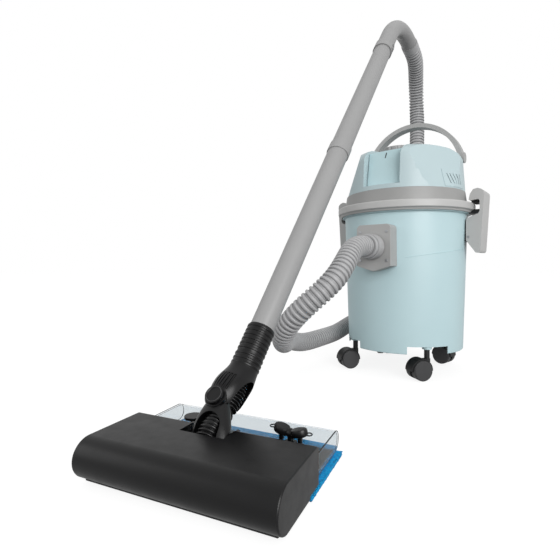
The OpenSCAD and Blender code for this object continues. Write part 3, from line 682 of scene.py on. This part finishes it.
# the clear tank's ends look darker along their edges, where they are seen through their own thickness; these dark
# lines are painted shade for that
FRONT, LOW, HIGH, BACK_RADIUS = 23.5, 13, 38.4, 12.7
for name, x, inset, thick in (("right", 136.4, 0.5, 0.6), ("right_inner", 134.6, 2.2, 0.3), ("left", -112.4, 0.5, 0.6),
        ("left_inner", -110.6, 2.2, 0.3)):
    outline = [(FRONT + inset, LOW + inset), (60, LOW + inset)]
    outline += [(93 + (BACK_RADIUS - inset) * math.cos(t), 25.7 + (BACK_RADIUS - inset) * math.sin(t))
        for t in (math.radians(-90 + 12 * k) for k in range(16))]
    outline += [(60, HIGH - inset), (FRONT + inset, HIGH - inset)]
    thin_line("tank_painted_edge_" + name, [HEAD @ (Vector((x, y, z)) / 1000) for y, z in outline], thick / 1000,
        "clear_painted_edge_shade", "tray", closed=True)

# mop pad: looped pile on a backing, a little thicker at its rim
pad = fresh(bpy.ops.mesh.primitive_cube_add, "looped_mop_pad", size=1)
bpy.ops.object.mode_set(mode="EDIT")
bpy.ops.transform.resize(value=(0.2555, 0.119, 0.0052))
bpy.ops.transform.translate(value=(0.01225, 0.0525, 0.0031))
bpy.ops.mesh.subdivide(number_cuts=6)
bpy.ops.object.mode_set(mode="OBJECT")
rim = pad.modifiers.new("rim", "BEVEL")
rim.width = 0.0022
rim.segments = 3
rim.limit_method = "ANGLE"
fine_grid = pad.modifiers.new("fine", "SUBSURF")
fine_grid.subdivision_type = "SIMPLE"
fine_grid.levels = fine_grid.render_levels = 3
loops = bpy.data.textures.new("loops", "CLOUDS")
loops.noise_scale = 0.0035
lift = pad.modifiers.new("loops", "DISPLACE")
lift.texture = loops
lift.strength = 0.0018
lift.mid_level = 0.75
apply_all(pad)
for vertex in pad.data.vertices:
    vertex.co.z = max(vertex.co.z, 0.0)
pad.data.transform(HEAD)
finished(pad, "mop", "tray", 60)
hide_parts("mop_pad")

# plain pale floor and soft light
floor_paint = bpy.data.materials.new("pale studio floor")
floor_paint.use_nodes = True
for old in list(floor_paint.node_tree.nodes):
    floor_paint.node_tree.nodes.remove(old)
rays = node(floor_paint, "ShaderNodeLightPath").outputs
mirrored = node(floor_paint, "ShaderNodeMath", {"operation": "MULTIPLY"}, {1: 0.45}, {0: rays["Is Glossy Ray"]})
glossy = node(floor_paint, "ShaderNodeMath", {"operation": "MAXIMUM"}, None,
    {0: rays["Is Camera Ray"], 1: mirrored.outputs[0]})
seen = node(floor_paint, "ShaderNodeMath", {"operation": "MAXIMUM"}, None,
    {0: glossy.outputs[0], 1: rays["Is Transmission Ray"]})
glow = node(floor_paint, "ShaderNodeEmission", None, {"Color": (1, 1, 1, 1)})
level = node(floor_paint, "ShaderNodeMath", {"operation": "MULTIPLY"}, {1: 0.86}, {0: seen.outputs[0]})
floor_paint.node_tree.links.new(level.outputs[0], glow.inputs["Strength"])
matt = node(floor_paint, "ShaderNodeBsdfDiffuse", None, {"Color": (0.2, 0.2, 0.2, 1)})
both = node(floor_paint, "ShaderNodeAddShader", None, None, {0: glow.outputs[0], 1: matt.outputs[0]})
node(floor_paint, "ShaderNodeOutputMaterial", None, None, {"Surface": both.outputs[0]})
floor = fresh(bpy.ops.mesh.primitive_plane_add, "studio_floor", size=30, location=(0, 0, -0.0005))
floor.data.materials.append(floor_paint)

world = bpy.data.worlds.new("studio")
world.use_nodes = True
bpy.context.scene.world = world
sky = world.node_tree.nodes["Background"]
sky.inputs["Color"].default_value = (1, 1, 1, 1)
# the camera, and what is seen through the clear tank, meets the sky at full strength; all other rays meet it lower
rays = node(world, "ShaderNodeLightPath").outputs
seen = node(world, "ShaderNodeMath", {"operation": "MAXIMUM"}, None,
    {0: rays["Is Camera Ray"], 1: rays["Is Transmission Ray"]})
strength = node(world, "ShaderNodeMapRange", None, {"To Min": 0.71, "To Max": 1.0}, {"Value": seen.outputs[0]})
world.node_tree.links.new(strength.outputs["Result"], sky.inputs["Strength"])


def lamp(name, place, target, size, power):
    light = bpy.data.lights.new(name, "AREA")
    light.shape = "RECTANGLE"
    light.size, light.size_y = size
    light.energy = power
    holder = bpy.data.objects.new(name, light)
    bpy.context.scene.collection.objects.link(holder)
    holder.location = place
    holder.rotation_euler = (Vector(target) - Vector(place)).to_track_quat("-Z", "Y").to_euler()


lamp("key", (2.0, -1.15, 1.05), (0, 0.1, 0.35), (1.6, 1.6), 47)
lamp("fill", (-1.8, -1.9, 1.2), (0, 0.1, 0.3), (1.6, 1.6), 8)
lamp("top", (0.2, 0.1, 2.6), (0, 0, 0), (2.0, 2.0), 2)
bpy.context.scene.view_settings.view_transform = "Standard"
